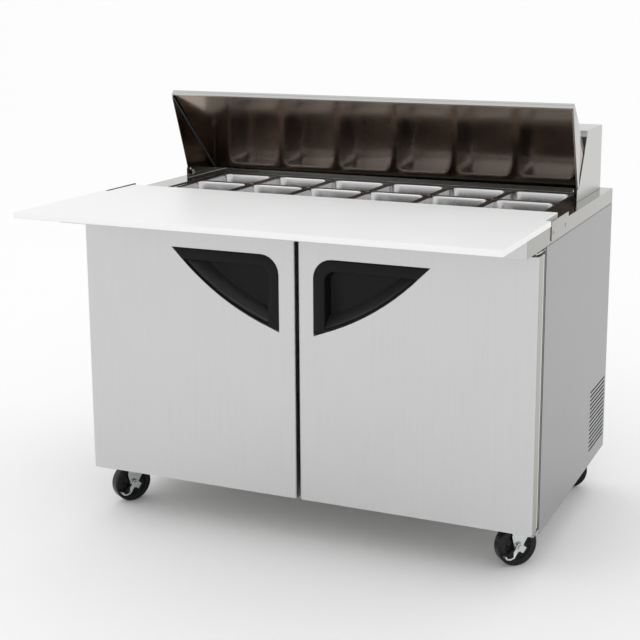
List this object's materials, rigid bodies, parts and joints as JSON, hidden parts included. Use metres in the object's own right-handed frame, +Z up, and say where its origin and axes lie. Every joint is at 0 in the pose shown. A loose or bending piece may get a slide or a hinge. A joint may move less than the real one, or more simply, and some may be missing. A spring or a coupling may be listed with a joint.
{
  "type": "sandwich prep table",
  "caption": "Refrigerated sandwich prep table: stainless cabinet with doors on casters, hinged lid over a pan rail, and a deep cutting board in front.",
  "frame": {"origin": "on the floor, under the middle of the whole table", "axes": "+X to the right seen from the front, -Y towards the person using it, +Z up"},
  "size_m": [1.2296, 1.052, 1.122],
  "materials": {
    "outer_steel": "brushed satin",
    "door_steel": "brushed satin",
    "bright_steel": "bright, mirror-like",
    "pan_steel": "polished satin",
    "foam": "matt",
    "white_board": "satin, finely pebbled",
    "door_inner_plastic": "semi-gloss",
    "handle_plastic": "moulded satin",
    "gasket_rubber": "matt",
    "wheel_rubber": "satin",
    "zinc": "zinc plated",
    "black_paint": "satin",
    "coil_fins": "bare",
    "fan_plastic": "satin",
    "shelf_wire": "white coated"
  },
  "bodies": {
    "cabinet": {"insulated_body": "foam", "inner_liner": "bright_steel", "face_frame": "outer_steel", "base_plate": "outer_steel", "side_panel_left": "outer_steel", "side_panel_right": "outer_steel", "rear_panel": "outer_steel", "worktop": "outer_steel", "board_stop_left": "outer_steel", "board_stop_right": "outer_steel", "rear_hood": "outer_steel", "pan_grid": "pan_steel", "hinge_left_top": "zinc", "hinge_right_top": "zinc", "caster_1_plate": "zinc", "caster_2_plate": "zinc", "caster_3_plate": "zinc", "caster_4_plate": "zinc", "compressor": "black_paint", "condenser_coil": "coil_fins", "condenser_fan_motor": "black_paint", "evaporator_coil": "coil_fins"},
    "lid": {"lid_skin": "outer_steel", "lid_core": "foam", "lid_liner": "bright_steel"},
    "board": {"cutting_board": "white_board"},
    "pan_front_1": {"pan_front_1": "pan_steel"},
    "pan_front_2": {"pan_front_2": "pan_steel"},
    "pan_front_3": {"pan_front_3": "pan_steel"},
    "pan_front_4": {"pan_front_4": "pan_steel"},
    "pan_front_5": {"pan_front_5": "pan_steel"},
    "pan_front_6": {"pan_front_6": "pan_steel"},
    "pan_rear_1": {"pan_rear_1": "pan_steel"},
    "pan_rear_2": {"pan_rear_2": "pan_steel"},
    "pan_rear_3": {"pan_rear_3": "pan_steel"},
    "pan_rear_4": {"pan_rear_4": "pan_steel"},
    "pan_rear_5": {"pan_rear_5": "pan_steel"},
    "pan_rear_6": {"pan_rear_6": "pan_steel"},
    "left_door": {"door_left_skin": "door_steel", "door_left_core": "door_inner_plastic", "door_left_gasket": "gasket_rubber", "door_left_handle": "handle_plastic"},
    "left_shelf": {"shelf_left": "shelf_wire"},
    "right_door": {"door_right_skin": "door_steel", "door_right_core": "door_inner_plastic", "door_right_gasket": "gasket_rubber", "door_right_handle": "handle_plastic"},
    "right_shelf": {"shelf_right": "shelf_wire"},
    "caster_1_swivel": {"caster_1_fork": "zinc"},
    "caster_1_roller": {"caster_1_wheel": "wheel_rubber"},
    "caster_1_pedal": {"caster_1_brake": "zinc"},
    "caster_2_swivel": {"caster_2_fork": "zinc"},
    "caster_2_roller": {"caster_2_wheel": "wheel_rubber"},
    "caster_2_pedal": {"caster_2_brake": "zinc"},
    "caster_3_swivel": {"caster_3_fork": "zinc"},
    "caster_3_roller": {"caster_3_wheel": "wheel_rubber"},
    "caster_4_swivel": {"caster_4_fork": "zinc"},
    "caster_4_roller": {"caster_4_wheel": "wheel_rubber"},
    "condenser_fan": {"condenser_fan_blade": "fan_plastic"},
    "evaporator_fan": {"evaporator_fan_blade": "fan_plastic"}
  },
  "joints": [
    {"name": "lid_hinge", "type": "hinge", "parent": "cabinet", "child": "lid", "pos_m": [0, 0.256, 0.886], "axis": [-1, 0, 0], "range_deg": [-67.5, 0]},
    {"name": "board_lift", "type": "slide", "parent": "cabinet", "child": "board", "axis": [0, 0, 1], "range_m": [0, 0.1]},
    {"name": "pan_front_1_lift", "type": "slide", "parent": "cabinet", "child": "pan_front_1", "axis": [0, 0, 1], "range_m": [0, 0.115]},
    {"name": "pan_front_2_lift", "type": "slide", "parent": "cabinet", "child": "pan_front_2", "axis": [0, 0, 1], "range_m": [0, 0.115]},
    {"name": "pan_front_3_lift", "type": "slide", "parent": "cabinet", "child": "pan_front_3", "axis": [0, 0, 1], "range_m": [0, 0.115]},
    {"name": "pan_front_4_lift", "type": "slide", "parent": "cabinet", "child": "pan_front_4", "axis": [0, 0, 1], "range_m": [0, 0.115]},
    {"name": "pan_front_5_lift", "type": "slide", "parent": "cabinet", "child": "pan_front_5", "axis": [0, 0, 1], "range_m": [0, 0.115]},
    {"name": "pan_front_6_lift", "type": "slide", "parent": "cabinet", "child": "pan_front_6", "axis": [0, 0, 1], "range_m": [0, 0.115]},
    {"name": "pan_rear_1_lift", "type": "slide", "parent": "cabinet", "child": "pan_rear_1", "axis": [0, 0, 1], "range_m": [0, 0.012]},
    {"name": "pan_rear_2_lift", "type": "slide", "parent": "cabinet", "child": "pan_rear_2", "axis": [0, 0, 1], "range_m": [0, 0.012]},
    {"name": "pan_rear_3_lift", "type": "slide", "parent": "cabinet", "child": "pan_rear_3", "axis": [0, 0, 1], "range_m": [0, 0.012]},
    {"name": "pan_rear_4_lift", "type": "slide", "parent": "cabinet", "child": "pan_rear_4", "axis": [0, 0, 1], "range_m": [0, 0.012]},
    {"name": "pan_rear_5_lift", "type": "slide", "parent": "cabinet", "child": "pan_rear_5", "axis": [0, 0, 1], "range_m": [0, 0.012]},
    {"name": "pan_rear_6_lift", "type": "slide", "parent": "cabinet", "child": "pan_rear_6", "axis": [0, 0, 1], "range_m": [0, 0.012]},
    {"name": "left_door_hinge", "type": "hinge", "parent": "cabinet", "child": "left_door", "pos_m": [-0.59775, -0.214, 0.47], "axis": [0, 0, -1], "range_deg": [0, 110]},
    {"name": "left_shelf_lift", "type": "slide", "parent": "cabinet", "child": "left_shelf", "axis": [0, 0, 1], "range_m": [0, 0.03]},
    {"name": "right_door_hinge", "type": "hinge", "parent": "cabinet", "child": "right_door", "pos_m": [0.59775, -0.214, 0.47], "axis": [0, 0, 1], "range_deg": [0, 110]},
    {"name": "right_shelf_lift", "type": "slide", "parent": "cabinet", "child": "right_shelf", "axis": [0, 0, 1], "range_m": [0, 0.03]},
    {"name": "caster_1_swivel_turn", "type": "hinge", "parent": "cabinet", "child": "caster_1_swivel", "pos_m": [-0.559, -0.092, 0.11], "axis": [0, 0, 1], "continuous": true},
    {"name": "caster_1_roll", "type": "hinge", "parent": "caster_1_swivel", "child": "caster_1_roller", "pos_m": [-0.5735, -0.11711, 0.05374], "axis": [-0.866, 0.5, 0], "continuous": true},
    {"name": "caster_1_brake_press", "type": "hinge", "parent": "caster_1_swivel", "child": "caster_1_pedal", "pos_m": [-0.5735, -0.11711, 0.05374], "axis": [0.866, -0.5, 0], "range_deg": [0, 15]},
    {"name": "caster_2_swivel_turn", "type": "hinge", "parent": "cabinet", "child": "caster_2_swivel", "pos_m": [0.559, -0.092, 0.11], "axis": [0, 0, 1], "continuous": true},
    {"name": "caster_2_roll", "type": "hinge", "parent": "caster_2_swivel", "child": "caster_2_roller", "pos_m": [0.53849, -0.11251, 0.05374], "axis": [-0.7071, 0.7071, 0], "continuous": true},
    {"name": "caster_2_brake_press", "type": "hinge", "parent": "caster_2_swivel", "child": "caster_2_pedal", "pos_m": [0.53849, -0.11251, 0.05374], "axis": [0.7071, -0.7071, 0], "range_deg": [0, 15]},
    {"name": "caster_3_swivel_turn", "type": "hinge", "parent": "cabinet", "child": "caster_3_swivel", "pos_m": [-0.559, 0.46, 0.11], "axis": [0, 0, 1], "continuous": true},
    {"name": "caster_3_roll", "type": "hinge", "parent": "caster_3_swivel", "child": "caster_3_roller", "pos_m": [-0.53678, 0.44136, 0.05374], "axis": [-0.6428, -0.766, 0], "continuous": true},
    {"name": "caster_4_swivel_turn", "type": "hinge", "parent": "cabinet", "child": "caster_4_swivel", "pos_m": [0.559, 0.46, 0.11], "axis": [0, 0, 1], "continuous": true},
    {"name": "caster_4_roll", "type": "hinge", "parent": "caster_4_swivel", "child": "caster_4_roller", "pos_m": [0.53063, 0.45397, 0.05374], "axis": [-0.2079, 0.9781, 0], "continuous": true},
    {"name": "condenser_fan_spin", "type": "hinge", "parent": "cabinet", "child": "condenser_fan", "pos_m": [0.235, 0.404, 0.2363], "axis": [1, 0, 0], "continuous": true},
    {"name": "evaporator_fan_spin", "type": "hinge", "parent": "cabinet", "child": "evaporator_fan", "pos_m": [0, 0.3821, 0.6], "axis": [0, -1, 0], "continuous": true}
  ]
}
